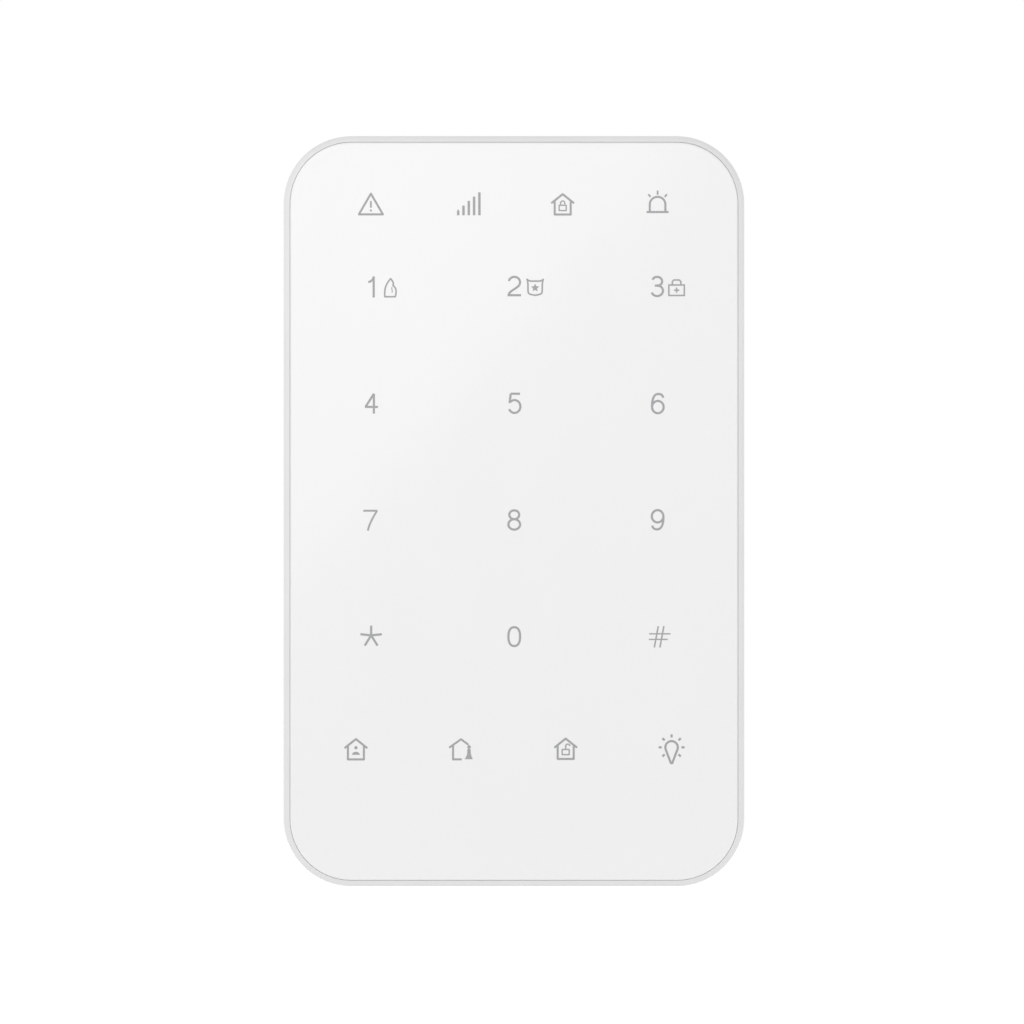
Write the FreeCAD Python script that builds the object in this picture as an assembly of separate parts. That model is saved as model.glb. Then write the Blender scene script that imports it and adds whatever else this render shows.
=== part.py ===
"""Wall-mounted touch keypad of a wireless alarm system, in millimetres.

Frame: +X to the user's right, +Z up, and the user stands on the -Y side. The wall is the plane Y = 0
and the origin is the middle of the bracket's back face. Most sizes are given as a depth, which is the
distance from the wall towards the user, so Y = -depth.

From the wall outwards: a bracket with four hooks, a rear cover with the battery bay, a circuit board, a
light shield, a touch film, and a flat touch panel set into the front cover. The unit hangs on the hooks
and a screw in its underside holds it down. The keys are touch zones of the panel and don't travel.
"""

import FreeCAD
import Part
import math
import os

# ---------------------------------------------------------------- driving dimensions
WIDTH = 92.4
HEIGHT = 150.5
DEPTH = 23.5
CORNER = 13.6
WALL = 1.8
SLIDE_OFF = 6.0          # travel that frees the unit from the hooks
FIT = 0.3                # clearance between separate pieces
OVER = 1.0               # how far a cutter reaches past what it cuts
BITE = 0.5               # how far joined shapes reach into each other

# Depths of the layers, from the wall outwards
SKIRT_END = 0.5          # the rear cover's edge stays clear of the wall
PLATE = 2.4              # bracket plate
BACK_OUT = 3.0           # outside of the rear cover's back wall
BACK_IN = 4.8            # inside of it
PARTING = 11.5           # end of the rear cover's side wall
SHADOW_GAP = 0.3         # visible line between the two covers
BAY_FLOOR = 17.4
BOARD_BACK = 18.4
BOARD_FRONT = 19.6
LEDGE_BACK = 20.4
LEDGE_FRONT = 21.6
PANEL_BACK = 21.9
RIM_FRONT = 23.3

# Front face
RIM = 1.3                # width of the rim that shows round the panel
PANEL_GAP = 0.05
EDGE_ROUND = 2.0
PANEL_ROUND = 0.45
LEDGE = 4.3              # from the outer edge to the ledge's window
FILM = 0.2               # thickness of the touch film
FILM_BORDER = 0.8        # between a light window of the film and the edge of its lit zone

# Joint of the two covers: the rear cover's lip stands in a step of the front cover's wall
LIP = 1.6
LIP_ROOT = 1.5
LIP_GAP = 0.1
LIP_STEP = 1.8

# Rear cover outline: how far it draws in towards the wall
TAPER = 1.45
TAPER_END = 1.5
HEEL = 2.3
POCKET = 3.8             # from the outer edge to the bracket's pocket

# Fastener places, as (x, z)
CASE_BOSSES = [(sx * 36.9, sz * 66.0) for sx in (-1, 1) for sz in (-1, 1)] + [(-39.2, 6.0), (39.2, 6.0)]
BOARD_POSTS = [(-19.0, 64.0), (19.0, 64.0), (-37.0, -14.0), (37.0, -14.0), (0.0, -55.4)]
BOSS_R = 3.0
BOSS_RIB = 1.4           # thickness of the rib that ties a case boss to the wall
POST_R = 2.5
STIFFENER = 1.2          # thickness of the rear cover's low ribs

# Case screws, which go in from the wall side, and board screws, which go in from the front
CASE_HEAD_R = 2.1
CASE_SHANK_R = 1.15
CASE_SEAT = 6.2
CASE_SCREW_END = 16.2
CASE_PILOT_R = 1.2
BOARD_HEAD_R = 1.9
BOARD_SHANK_R = 1.0
BOARD_SCREW_LENGTH = 6.0
BOARD_PILOT_END = 12.0

# Bracket
BRACKET_GAP = 0.5
BRACKET_BOTTOM = -65.0
BRACKET_BORDER = 3.0     # of the wall side's relief pockets, and the ribs between them
POCKET_DEPTH = 0.8
SPINE = 5.2              # half width of the flat strip down the middle
SCREW_PAD = 6.0
COUNTERSINK = 1.2
WALL_HOLE_R = 2.25
WALL_HOLE_SPACING = (56.0, 104.0)
WALL_HOLE_Z = 5.0
HOOKS = [(sx * 37.0, z) for sx in (-1, 1) for z in (-36.0, 44.0)]
HOOK_W = 5.0
HOOK_NECK = 2.0
HOOK_REACH = 4.0
HOOK_HEAD = 1.6

# Retaining screw, along Z
SCREW_DEPTH = 6.2
SCREW_SEAT = -72.7
SCREW_END = -60.9
SCREW_R = 1.45
SCREW_HOLE_R = 1.7
SCREW_HEAD_R = 2.75
SCREW_HEAD = 1.5
LUG_HALF = 5.5
LUG_TOP = -61.2
LUG_DEPTH = 9.4
CHAMBER = 7.0            # half width of the room that the lug slides in
CHAMBER_FOOT = -73.4
CHAMBER_TOP = -60.2
CHAMBER_DEPTH = 10.1
CHAMBER_WALL = 1.2

# Tamper plunger and reset button, along Y
TAMPER = (0.0, 34.0)
TAMPER_R = 2.2
TAMPER_END = 13.6
TAMPER_GUIDE_END = 8.4
TAMPER_FLANGE = (3.6, 10.2, 11.2)            # radius, and the depths that it lies between
TAMPER_SWITCH = (9.0, 15.4)                  # width, and the depth of its wall side
RESET = (-22.0, 30.0)
RESET_R = 2.5
RESET_NEAR = 3.6
RESET_END = 13.8
RESET_GUIDE_END = 8.6
RESET_FLANGE = (3.3, 9.0, 10.0)
RESET_SWITCH = (6.0, 14.9)
GUIDE_R = 4.2
GUIDE_GAP = 0.1
ACTUATOR_R = 1.7                             # of each switch's own plunger
ACTUATOR_BORE_R = 1.8
ACTUATOR_ROOM = 14.0                         # depth at which the bore for it starts
TAMPER_ACTUATOR_END = 17.4
TAMPER_BORE_END = 17.9
RESET_ACTUATOR_END = 16.9
RESET_BORE_END = 17.6

# Four size AA cells, side by side and standing
CELL_R = 7.25
CELL_LENGTH = 50.5
CAN_ROUND = 0.5
CELL_PITCH = 15.1
CELL_DEPTH = 10.05
NUB_R = 2.75
NUB_LENGTH = 1.3
BAY_HALF = 30.3
BAY_BOTTOM = -50.6
BAY_TOP = 6.6
BAY_WALL = 1.2
CELL_GAP = 0.1           # between a cell's end and its contact
CONTACT = 0.4            # thickness of the contact metal
CONTACT_PLATE = 9.0
TAB = 2.4                # width of a contact's solder tab

# Legend grid on the panel, and the (width, height) of each kind of lit zone
KEY_COLUMNS = (-28.65, 0.0, 28.65)
KEY_ROWS = (44.95, 21.6, -1.75, -25.1)
INDICATOR_Z = 61.4
INDICATOR_X = (-28.75, -9.4, 9.4, 28.75)
FUNCTION_Z = -47.7
FUNCTION_X = (-31.5, -10.5, 10.5, 31.5)
ICON_SHIFT = 2.1         # the first row of keys also carries an icon, to the right of the digit
INDICATOR_ZONE = (7.0, 6.6)
KEY_ZONE = (6.4, 6.4)
ICON_KEY_ZONE = (11.0, 6.4)
FUNCTION_ZONE = (7.0, 7.2)

# Circuit board and the parts on it, as (x, z) places
BOARD = (84.0, 141.0)
BOARD_CORNER = 9.0
BOARD_HOLE_R = 1.2
BOARD_NOTCH = 0.6        # clearance round the case bosses, and the light shield's
SHIELD_NOTCH = 0.5
TAB_GAP_IN_BOARD = 0.15  # clearance round a solder tab
TAB_GAP_IN_BAY = 0.25
FILM_CONNECTOR = (-18.0, -62.0)
TAIL_HALF = 4.5          # half width of the touch film's ribbon
TAIL = 0.14              # and its thickness
RADIO = (24.0, 47.0)
RADIO_BOARD = 0.8
CAN_BACK = 3.0           # how far the radio's shield can stands behind the main board
ANTENNA_Z = 57.0
ANTENNA_X = (-12.0, 11.0)                    # its free end and its soldered foot
CAPACITOR = (-32.0, 50.0)
CAPACITOR_BASE = 1.0
BUZZER = (24.0, -61.0)
BUZZER_HOLE_PITCH = 2.5
BUZZER_HOLE_R = 0.6


# ---------------------------------------------------------------- shape helpers
def at(x, z, depth):
    return FreeCAD.Vector(x, -depth, z)


def outline(width, height, radius, depth, x=0.0, z=0.0):
    """Rounded rectangle in a plane parallel to the wall."""
    w, h = width / 2 - radius, height / 2 - radius
    diagonal = radius * math.sqrt(0.5)
    edges = []
    corners = [(w, h, 0), (-w, h, 90), (-w, -h, 180), (w, -h, 270)]
    for i, (cx, cz, turn) in enumerate(corners):
        a, b = math.radians(turn), math.radians(turn + 90)
        start = at(x + cx + radius * math.cos(a), z + cz + radius * math.sin(a), depth)
        end = at(x + cx + radius * math.cos(b), z + cz + radius * math.sin(b), depth)
        middle = at(
            x + cx + math.copysign(diagonal, cx),
            z + cz + math.copysign(diagonal, cz),
            depth,
        )
        edges.append(Part.Arc(start, middle, end).toShape())
        nx, nz, _ = corners[(i + 1) % 4]
        b_next = at(x + nx + radius * math.cos(b), z + nz + radius * math.sin(b), depth)
        edges.append(Part.makeLine(end, b_next))
    return Part.Wire(edges)


def slab(width, height, radius, near, far, x=0.0, z=0.0):
    """Rounded rectangle, from one depth to another."""
    face = Part.Face(outline(width, height, radius, near, x, z))
    return face.extrude(FreeCAD.Vector(0, near - far, 0))


def inset_slab(inset, near, far):
    """Slab of the keypad's own outline, drawn in by inset."""
    return slab(WIDTH - 2 * inset, HEIGHT - 2 * inset, CORNER - inset, near, far)


def inset_loft(sections):
    """Solid through the keypad's outline at several (depth, inset) pairs."""
    wires = [
        outline(WIDTH - 2 * inset, HEIGHT - 2 * inset, CORNER - inset, depth)
        for depth, inset in sections
    ]
    return Part.makeLoft(wires, True, True)


def block(x0, x1, z0, z1, near, far):
    return Part.makeBox(x1 - x0, far - near, z1 - z0, at(x0, z0, far))


def centred_block(x, z, width, height, near, far):
    return block(x - width / 2, x + width / 2, z - height / 2, z + height / 2, near, far)


def rod(x, z, radius, near, far):
    """Cylinder square to the wall."""
    return Part.makeCylinder(radius, far - near, at(x, z, near), FreeCAD.Vector(0, -1, 0))


def upright(x, depth, radius, z0, z1):
    """Cylinder along Z."""
    return Part.makeCylinder(radius, z1 - z0, at(x, z0, depth), FreeCAD.Vector(0, 0, 1))


def rib(start, end, thickness, near, far):
    """Straight wall between two (x, z) places."""
    dx, dz = end[0] - start[0], end[1] - start[1]
    length = math.hypot(dx, dz)
    bar = Part.makeBox(length, far - near, thickness, FreeCAD.Vector(0, -far, -thickness / 2))
    bar.rotate(FreeCAD.Vector(0, 0, 0), FreeCAD.Vector(0, 1, 0), -math.degrees(math.atan2(dz, dx)))
    bar.translate(FreeCAD.Vector(start[0], 0, start[1]))
    return bar


def join(shapes):
    first, *others = shapes
    return first.multiFuse(others).removeSplitter() if others else first


def group(shapes):
    """Separate solids that share one node."""
    return Part.makeCompound(shapes)


def coil(start, axis, length, radius, wire, turns, end_radius=None):
    """Round wire wound along an axis from a start point, as a loft through eight-sided sections."""
    end_radius = end_radius or radius
    steps, sides = 14 * turns, 8
    climb = length / (2 * math.pi * turns)
    wire_radius = wire / 2 / math.sqrt(math.sin(2 * math.pi / sides) * sides / (2 * math.pi))
    up = FreeCAD.Vector(0, 0, 1)
    sections = []
    for i in range(steps + 1):
        share = i / steps
        angle = 2 * math.pi * turns * share
        r = radius + (end_radius - radius) * share
        outward = FreeCAD.Vector(math.cos(angle), math.sin(angle), 0)
        along = FreeCAD.Vector(-r * math.sin(angle), r * math.cos(angle), climb).normalize()
        across = along.cross(outward)
        centre = outward * r + up * (length * share)
        turned = [2 * math.pi * (side + 0.5) / sides for side in range(sides)]
        points = [centre + (outward * math.cos(t) + across * math.sin(t)) * wire_radius for t in turned]
        sections.append(Part.makePolygon(points + points[:1]))
    body = Part.makeLoft(sections, True, True)
    body.Placement = FreeCAD.Placement(start, FreeCAD.Rotation(up, axis))
    return body


def edges_at_depth(shape, depth):
    return [e for e in shape.Edges if all(abs(v.Y + depth) < 1e-6 for v in e.Vertexes)]


def cross_recess(x, z, size, near, far):
    """Cutter for the recess of a cross-head screw that is square to the wall."""
    slot = size / 4
    return centred_block(x, z, size, slot, near, far).fuse(centred_block(x, z, slot, size, near, far))


# ---------------------------------------------------------------- lit zones
def lit_zones():
    """Every place where a legend is lit, as (x, z, width, height)."""
    icon_row, *plain_rows = KEY_ROWS
    zones = [(x, INDICATOR_Z, *INDICATOR_ZONE) for x in INDICATOR_X]
    zones += [(x + ICON_SHIFT, icon_row, *ICON_KEY_ZONE) for x in KEY_COLUMNS]
    zones += [(x, z, *KEY_ZONE) for z in plain_rows for x in KEY_COLUMNS]
    zones += [(x, FUNCTION_Z, *FUNCTION_ZONE) for x in FUNCTION_X]
    return zones


def board_notches(clearance):
    """Cutters that let the board and the light shield pass the case bosses."""
    reach = BOSS_R + clearance
    past_edge = 10.0
    cutters = []
    for x, z in CASE_BOSSES:
        x0, x1 = sorted((x - math.copysign(reach, x), x + math.copysign(past_edge, x)))
        outward = past_edge if in_corner(z) else reach
        z0, z1 = sorted((z - math.copysign(reach, z), z + math.copysign(outward, z)))
        cutters.append(block(x0, x1, z0, z1, BAY_FLOOR, PANEL_BACK))
    return cutters


def in_corner(z):
    """Whether a case boss at this height stands in a corner, or else beside the middle of a side wall."""
    return abs(z) > HEIGHT / 3


# ---------------------------------------------------------------- front of the unit
def touch_panel():
    inset = RIM + PANEL_GAP
    panel = inset_slab(inset, PANEL_BACK, DEPTH)
    return panel.makeFillet(PANEL_ROUND, edges_at_depth(panel, DEPTH))


def panel_adhesive():
    sheet = inset_slab(RIM + PANEL_GAP + FIT, LEDGE_FRONT, PANEL_BACK)
    return sheet.cut(inset_slab(LEDGE - FIT, LEDGE_FRONT - OVER, PANEL_BACK + OVER))


def front_cover():
    near = PARTING + SHADOW_GAP
    body = inset_slab(0.0, near, RIM_FRONT)
    body = body.makeFillet(EDGE_ROUND, edges_at_depth(body, RIM_FRONT))
    body = body.cut(inset_slab(RIM, LEDGE_FRONT, DEPTH + OVER))
    body = body.cut(inset_slab(WALL, near - OVER, LEDGE_BACK))
    body = body.cut(inset_slab(LEDGE, LEDGE_BACK - OVER, LEDGE_FRONT + OVER))
    body = body.cut(inset_slab(WALL / 2, near - OVER, near + LIP_STEP))
    past_lip, pilot_end = near + 2.0, LEDGE_BACK - 1.4
    posts = []
    for x, z in CASE_BOSSES:
        posts.append(rod(x, z, BOSS_R, near, LEDGE_BACK))
        posts.append(wall_rib(x, z, past_lip, LEDGE_BACK))
    body = join([body] + posts)
    return body.cut(group([rod(x, z, CASE_PILOT_R, near - OVER, pilot_end) for x, z in CASE_BOSSES]))


def wall_rib(x, z, near, far):
    """Rib that ties a case boss to the nearest side wall or corner."""
    if in_corner(z):
        cx, cz = math.copysign(WIDTH / 2 - CORNER, x), math.copysign(HEIGHT / 2 - CORNER, z)
        reach = (CORNER - WALL + BITE) / math.hypot(x - cx, z - cz)
        end = (cx + (x - cx) * reach, cz + (z - cz) * reach)
    else:
        end = (math.copysign(WIDTH / 2 - WALL + BITE, x), z)
    return rib((x, z), end, BOSS_RIB, near, far)


def touch_film():
    film = inset_slab(LEDGE + FIT, PANEL_BACK - FILM, PANEL_BACK)
    windows = []
    for x, z, width, height in lit_zones():
        size = (width - 2 * FILM_BORDER, height - 2 * FILM_BORDER, FILM_BORDER)
        windows.append(slab(*size, PANEL_BACK - OVER, PANEL_BACK + OVER, x, z))
    return film.cut(group(windows))


def light_shield():
    body = inset_slab(LEDGE + FIT, BOARD_FRONT, LEDGE_FRONT)
    depths = (BOARD_FRONT - OVER, LEDGE_FRONT + OVER)
    corner, screw_room_r, connector_room = 1.0, 2.6, (14.0, 6.0)
    cutters = [slab(width, height, corner, *depths, x, z) for x, z, width, height in lit_zones()]
    cutters += [rod(x, z, screw_room_r, *depths) for x, z in BOARD_POSTS]
    cutters += board_notches(SHIELD_NOTCH)
    cutters.append(centred_block(*FILM_CONNECTOR, *connector_room, *depths))
    return body.cut(group(cutters))


# ---------------------------------------------------------------- circuit board
def main_pcb():
    board = slab(*BOARD, BOARD_CORNER, BOARD_BACK, BOARD_FRONT)
    holes = [rod(x, z, BOARD_HOLE_R, BOARD_BACK - OVER, BOARD_FRONT + OVER) for x, z in BOARD_POSTS]
    tabs = [contact_tab(x, z, TAB_GAP_IN_BOARD) for x, z in contact_places()]
    return board.cut(group(holes + tabs + board_notches(BOARD_NOTCH)))


def on_front(x, z, width, height, thickness):
    """Block that stands on the board's front."""
    return centred_block(x, z, width, height, BOARD_FRONT, BOARD_FRONT + thickness)


def on_back(x, z, width, height, thickness):
    """Block that stands on the board's back."""
    return centred_block(x, z, width, height, BOARD_BACK - thickness, BOARD_BACK)


def key_leds():
    places = [(x, z) for z in KEY_ROWS for x in KEY_COLUMNS]
    places += [(x + 2 * ICON_SHIFT, KEY_ROWS[0]) for x in KEY_COLUMNS]
    places += [(x, FUNCTION_Z) for x in FUNCTION_X]
    return group([on_front(x, z, width=1.6, height=0.8, thickness=0.7) for x, z in places])


def indicator_leds():
    return group([on_front(x, INDICATOR_Z, width=2.0, height=2.0, thickness=0.9) for x in INDICATOR_X])


def film_connector():
    """Shell with a flat mouth at its top, for the film's ribbon."""
    x, z = FILM_CONNECTOR
    shell = on_front(x, z, width=12.0, height=4.4, thickness=1.0)
    half = TAIL_HALF + 0.2
    low, high = z + 0.3, z + 3.3
    near, far = BOARD_FRONT + 0.5, BOARD_FRONT + 0.75
    return shell.cut(block(x - half, x + half, low, high, near, far))


def film_tail():
    """Ribbon from the touch film, bent once into the connector."""
    x, z = FILM_CONNECTOR
    end, bend = z + 0.5, z + 2.7
    near = BOARD_FRONT + 0.56
    flat = block(x - TAIL_HALF, x + TAIL_HALF, end, bend, near, near + TAIL)
    riser = block(x - TAIL_HALF, x + TAIL_HALF, bend - TAIL, bend, near, PANEL_BACK - FILM)
    return join([flat, riser])


def chip(x, z, size, height, leads_a_side):
    """Chip package on the board's back, with its row of leads on each side."""
    stand_off, lead_length, lead_width, lead_height = 0.05, 1.2, 0.4, 0.25
    body = centred_block(x, z, size, size, BOARD_BACK - height, BOARD_BACK - stand_off)
    leads = []
    for i in range(leads_a_side):
        along = (i - (leads_a_side - 1) / 2) * size / leads_a_side
        for edge in (-size / 2, size / 2):
            leads.append(on_back(x + edge, z + along, lead_length, lead_width, lead_height))
            leads.append(on_back(x + along, z + edge, lead_width, lead_length, lead_height))
    return join([body] + leads)


def microcontroller():
    return chip(x=18.0, z=24.0, size=9.0, height=1.2, leads_a_side=8)


def touch_controller():
    return chip(x=-2.0, z=14.5, size=5.0, height=1.0, leads_a_side=5)


def radio_module():
    """Daughter board with its shield can."""
    x, z = RADIO
    board = on_back(x, z, width=20.0, height=16.0, thickness=RADIO_BOARD)
    can_size, can_rise = (15.0, 12.0), 0.5
    can = centred_block(x, z + can_rise, *can_size, BOARD_BACK - CAN_BACK, BOARD_BACK - RADIO_BOARD)
    return join([board, can])


def radio_antenna():
    """Helical antenna with its foot soldered to the board."""
    free_end, foot_x = ANTENNA_X
    start = at(free_end, ANTENNA_Z, BOARD_BACK - CAN_BACK - 0.4)
    along = FreeCAD.Vector(1, 0, 0)
    spring = coil(start, along, length=22.0, radius=2.4, wire=0.7, turns=9)
    foot = on_back(foot_x, ANTENNA_Z, width=2.0, height=2.0, thickness=0.6)
    return group([spring, foot])


def chip_components():
    """Resistors and capacitors in rows, and one crystal, on the board's back."""
    chip_size = (1.0, 1.9, 0.7)
    column_size = (2.0, 1.2, 0.7)
    row_start, row_pitch, row_heights = 8.0, 2.4, (33.0, 14.5)
    column_x, column_start, column_pitch = -36.0, 16.0, 3.2
    parts = []
    for i in range(6):
        parts += [on_back(row_start + row_pitch * i, z, *chip_size) for z in row_heights]
        parts.append(on_back(column_x, column_start + column_pitch * i, *column_size))
    crystal = on_back(x=31.0, z=22.0, width=3.2, height=5.0, thickness=1.1)
    return group(parts + [crystal])


def buffer_capacitor():
    """Upright can on a square base."""
    x, z = CAPACITOR
    can_r, can_back, base_width = 3.15, 7.7, 6.6
    can = rod(x, z, can_r, BOARD_BACK - can_back, BOARD_BACK - CAPACITOR_BASE)
    return join([can, on_back(x, z, base_width, base_width, CAPACITOR_BASE)])


def buzzer():
    x, z = BUZZER
    body_r, height, hole_r, hole_end = 6.0, 6.5, 1.0, 3.0
    body = rod(x, z, body_r, BOARD_BACK - height, BOARD_BACK)
    return body.cut(rod(x, z, hole_r, BOARD_BACK - height - OVER, BOARD_BACK - hole_end))


# ---------------------------------------------------------------- rear cover
def taper_inset(depth):
    """How far the outside has drawn in at a depth."""
    return TAPER * (PARTING - depth) / (PARTING - TAPER_END)


def battery_bay_block():
    half, under_board = BAY_HALF + BAY_WALL, BOARD_BACK - 0.1
    return block(-half, half, BAY_BOTTOM - BAY_WALL, BAY_TOP + BAY_WALL, BACK_OUT, under_board)


def cell_ridges():
    """Low ridges on the bay's floor that keep the cells apart."""
    middle = (BAY_BOTTOM + BAY_TOP) / 2
    width, length, height = 2.0, 40.0, 3.0
    between = (-CELL_PITCH, 0.0, CELL_PITCH)
    return [centred_block(x, middle, width, length, BAY_FLOOR - height, BAY_FLOOR) for x in between]


def stiffening_ribs():
    """Low ribs of the rear cover, beside the battery bay and above it."""
    side, top = WIDTH / 2 - WALL - 0.6, HEIGHT / 2 - WALL - 0.8
    near = BACK_IN - 0.2
    side_far, upper_far, cross_far = 9.5, 6.6, 6.0
    cross_half, cross_z = 30.0, 52.0
    ribs = [rib((sx * (BAY_HALF + OVER), z), (sx * side, z), STIFFENER, near, side_far)
            for sx in (-1, 1) for z in (-48.0, -24.0, -4.0)]
    ribs += [rib((x, BAY_TOP + OVER), (x, top), STIFFENER, near, upper_far) for x in (-12.0, 12.0)]
    ribs.append(rib((-cross_half, cross_z), (cross_half, cross_z), STIFFENER, near, cross_far))
    return ribs


def hook_slot(x, z):
    """Opening in the rear cover for one hook, long enough for its head to leave."""
    half, seat_gap = HOOK_W / 2 + FIT, 0.1
    low, high = z - SLIDE_OFF - FIT, z + HOOK_NECK + seat_gap
    return block(x - half, x + half, low, high, BACK_OUT - OVER, BACK_IN + OVER)


def cover_lip():
    """Ring inside the rear cover's edge that stands in the front cover."""
    ring = inset_slab(WALL / 2 + LIP_GAP, PARTING - LIP_ROOT, PARTING + LIP)
    return ring.cut(inset_slab(WALL + LIP_GAP, PARTING - LIP_ROOT - OVER, PARTING + LIP + OVER))


def rear_cover_walls():
    """The shell and everything that stands on it, before any hole."""
    shell = inset_loft([(PARTING, 0.0), (TAPER_END, TAPER), (SKIRT_END, HEEL)])
    room = inset_loft([(PARTING + 0.01, WALL), (BACK_IN, WALL + taper_inset(BACK_IN))])
    shell = shell.cut(room).cut(inset_slab(POCKET, 0.0, BACK_OUT))
    root = BACK_OUT + BITE
    parts = [shell, cover_lip(), battery_bay_block()]
    parts += [rod(x, z, BOSS_R, BACK_OUT, PARTING + SHADOW_GAP) for x, z in CASE_BOSSES]
    parts += [wall_rib(x, z, root, PARTING - 1.0) for x, z in CASE_BOSSES]
    parts += [rod(x, z, POST_R, root, BOARD_BACK) for x, z in BOARD_POSTS]
    parts.append(rod(*TAMPER, GUIDE_R, root, TAMPER_GUIDE_END))
    parts.append(rod(*RESET, GUIDE_R, root, RESET_GUIDE_END))
    parts += stiffening_ribs()
    side, top = CHAMBER + CHAMBER_WALL, CHAMBER_TOP + CHAMBER_WALL
    parts.append(block(-side, side, CHAMBER_FOOT, top, BACK_OUT, CHAMBER_DEPTH + CHAMBER_WALL))
    return join(parts)


def fastener_holes():
    """Cutters for the case screws, the board screws and the retaining screw."""
    case_hole_r, case_room_r, board_pilot_r, head_room_r = 1.4, 2.4, 1.05, 3.1
    holes = [rod(x, z, case_hole_r, BACK_OUT - OVER, PARTING + OVER) for x, z in CASE_BOSSES]
    holes += [rod(x, z, case_room_r, 0.0, CASE_SEAT) for x, z in CASE_BOSSES]
    holes += [rod(x, z, board_pilot_r, BOARD_PILOT_END, BOARD_BACK + OVER) for x, z in BOARD_POSTS]
    holes.append(upright(0.0, SCREW_DEPTH, SCREW_HOLE_R, -HEIGHT / 2, CHAMBER_TOP))
    holes.append(upright(0.0, SCREW_DEPTH, head_room_r, -HEIGHT / 2 - OVER, SCREW_SEAT))
    return holes


def sound_holes():
    """Cutters for the row of holes in the underside, below the buzzer."""
    depth, end = 8.4, -70.0
    places = [BUZZER[0] + BUZZER_HOLE_PITCH * i for i in range(-2, 3)]
    return [upright(x, depth, BUZZER_HOLE_R, -HEIGHT / 2 - OVER, end) for x in places]


def rear_cover():
    cutters = [block(-BAY_HALF, BAY_HALF, BAY_BOTTOM, BAY_TOP, 0.0, BAY_FLOOR)]
    cutters += [contact_tab(x, z, TAB_GAP_IN_BAY) for x, z in contact_places()]
    cutters.append(rod(*TAMPER, TAMPER_R + GUIDE_GAP, 0.0, TAMPER_GUIDE_END + OVER))
    cutters.append(rod(*RESET, RESET_R + GUIDE_GAP, 0.0, RESET_GUIDE_END + OVER))
    cutters += [hook_slot(x, z) for x, z in HOOKS]
    cutters.append(block(-CHAMBER, CHAMBER, -HEIGHT / 2 + POCKET, CHAMBER_TOP, 0.0, CHAMBER_DEPTH))
    cutters += fastener_holes() + sound_holes()
    body = rear_cover_walls().cut(group(cutters))
    return join([body] + cell_ridges())


# ---------------------------------------------------------------- batteries
def cells():
    """(x, +1 or -1) for each cell, where +1 means that its positive end is at the top."""
    return [((i - 1.5) * CELL_PITCH, 1 if i % 2 else -1) for i in range(4)]


def battery(index):
    x, up = cells()[index]
    clear = CONTACT + CELL_GAP
    positive = BAY_TOP - clear if up > 0 else BAY_BOTTOM + clear
    can_end = positive - up * NUB_LENGTH
    far_end = positive - up * CELL_LENGTH
    can = upright(x, CELL_DEPTH, CELL_R, *sorted((can_end, far_end)))
    rims = [e for e in can.Edges if e.Closed]
    nub = upright(x, CELL_DEPTH, NUB_R, *sorted((positive, can_end)))
    return join([can.makeFillet(CAN_ROUND, rims), nub])


def contact_places():
    """(x, z) of the middle of each contact plate, at both ends of each cell."""
    return [(x, z) for x, _ in cells() for z in (BAY_BOTTOM + CONTACT / 2, BAY_TOP - CONTACT / 2)]


def contact_tab(x, z, clearance):
    """Solder tab from a contact plate through the bay's floor and the board."""
    width, height = TAB + 2 * clearance, CONTACT + 2 * clearance
    return centred_block(x, z, width, height, BAY_FLOOR - 2.0, BOARD_FRONT)


def contact_plate(x, z):
    half = CONTACT_PLATE / 2
    plate = centred_block(x, z, CONTACT_PLATE, CONTACT, CELL_DEPTH - half, CELL_DEPTH + half)
    bridge = centred_block(x, z, TAB, CONTACT, CELL_DEPTH, BAY_FLOOR - 1.0)
    return join([plate, bridge, contact_tab(x, z, 0.0)])


def battery_plates():
    """Flat contacts at the positive ends."""
    return group([contact_plate(x, contact_z(up, True)) for x, up in cells()])


def contact_z(up, positive):
    """Height of the contact at one end of a cell, where up is +1 if its positive end is at the top."""
    at_top = (up > 0) == positive
    return BAY_TOP - CONTACT / 2 if at_top else BAY_BOTTOM + CONTACT / 2


def battery_springs():
    """Plates with a conical spring at the negative ends."""
    foot_gap, tip_gap = 0.4, 0.6
    free = BAY_TOP - BAY_BOTTOM - CELL_LENGTH - 2 * CONTACT - CELL_GAP - foot_gap - tip_gap
    winding = {"radius": 3.6, "end_radius": 2.2, "wire": 0.7, "turns": 4}
    shapes = []
    for x, up in cells():
        z = contact_z(up, False)
        inward = 1 if z < 0 else -1
        start = at(x, z + inward * (CONTACT / 2 + foot_gap), CELL_DEPTH)
        shapes.append(contact_plate(x, z))
        shapes.append(coil(start, FreeCAD.Vector(0, 0, inward), free, **winding))
    return group(shapes)


# ---------------------------------------------------------------- switches
def tamper_plunger():
    """Pin through the bracket that the wall holds in, with the flange that keeps it in its guide."""
    tip_round = 0.6
    stem = rod(*TAMPER, TAMPER_R, 0.0, TAMPER_END)
    tip = [e for e in edges_at_depth(stem, 0.0) if e.Closed]
    return join([stem.makeFillet(tip_round, tip), rod(*TAMPER, *TAMPER_FLANGE)])


def tamper_spring():
    """Coil between the plunger's flange and the switch."""
    start = at(*TAMPER, TAMPER_FLANGE[2] + FIT)
    return coil(start, FreeCAD.Vector(0, -1, 0), length=3.6, radius=2.9, wire=0.45, turns=4)


def switch_body(x, z, width, near, bore_end):
    """Square switch on the board's back, with a bore for its own plunger."""
    body = centred_block(x, z, width, width, near, BOARD_BACK)
    return body.cut(rod(x, z, ACTUATOR_BORE_R, ACTUATOR_ROOM, bore_end))


def tamper_switch():
    return switch_body(*TAMPER, *TAMPER_SWITCH, TAMPER_BORE_END)


def tamper_actuator():
    return rod(*TAMPER, ACTUATOR_R, TAMPER_END, TAMPER_ACTUATOR_END)


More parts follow.
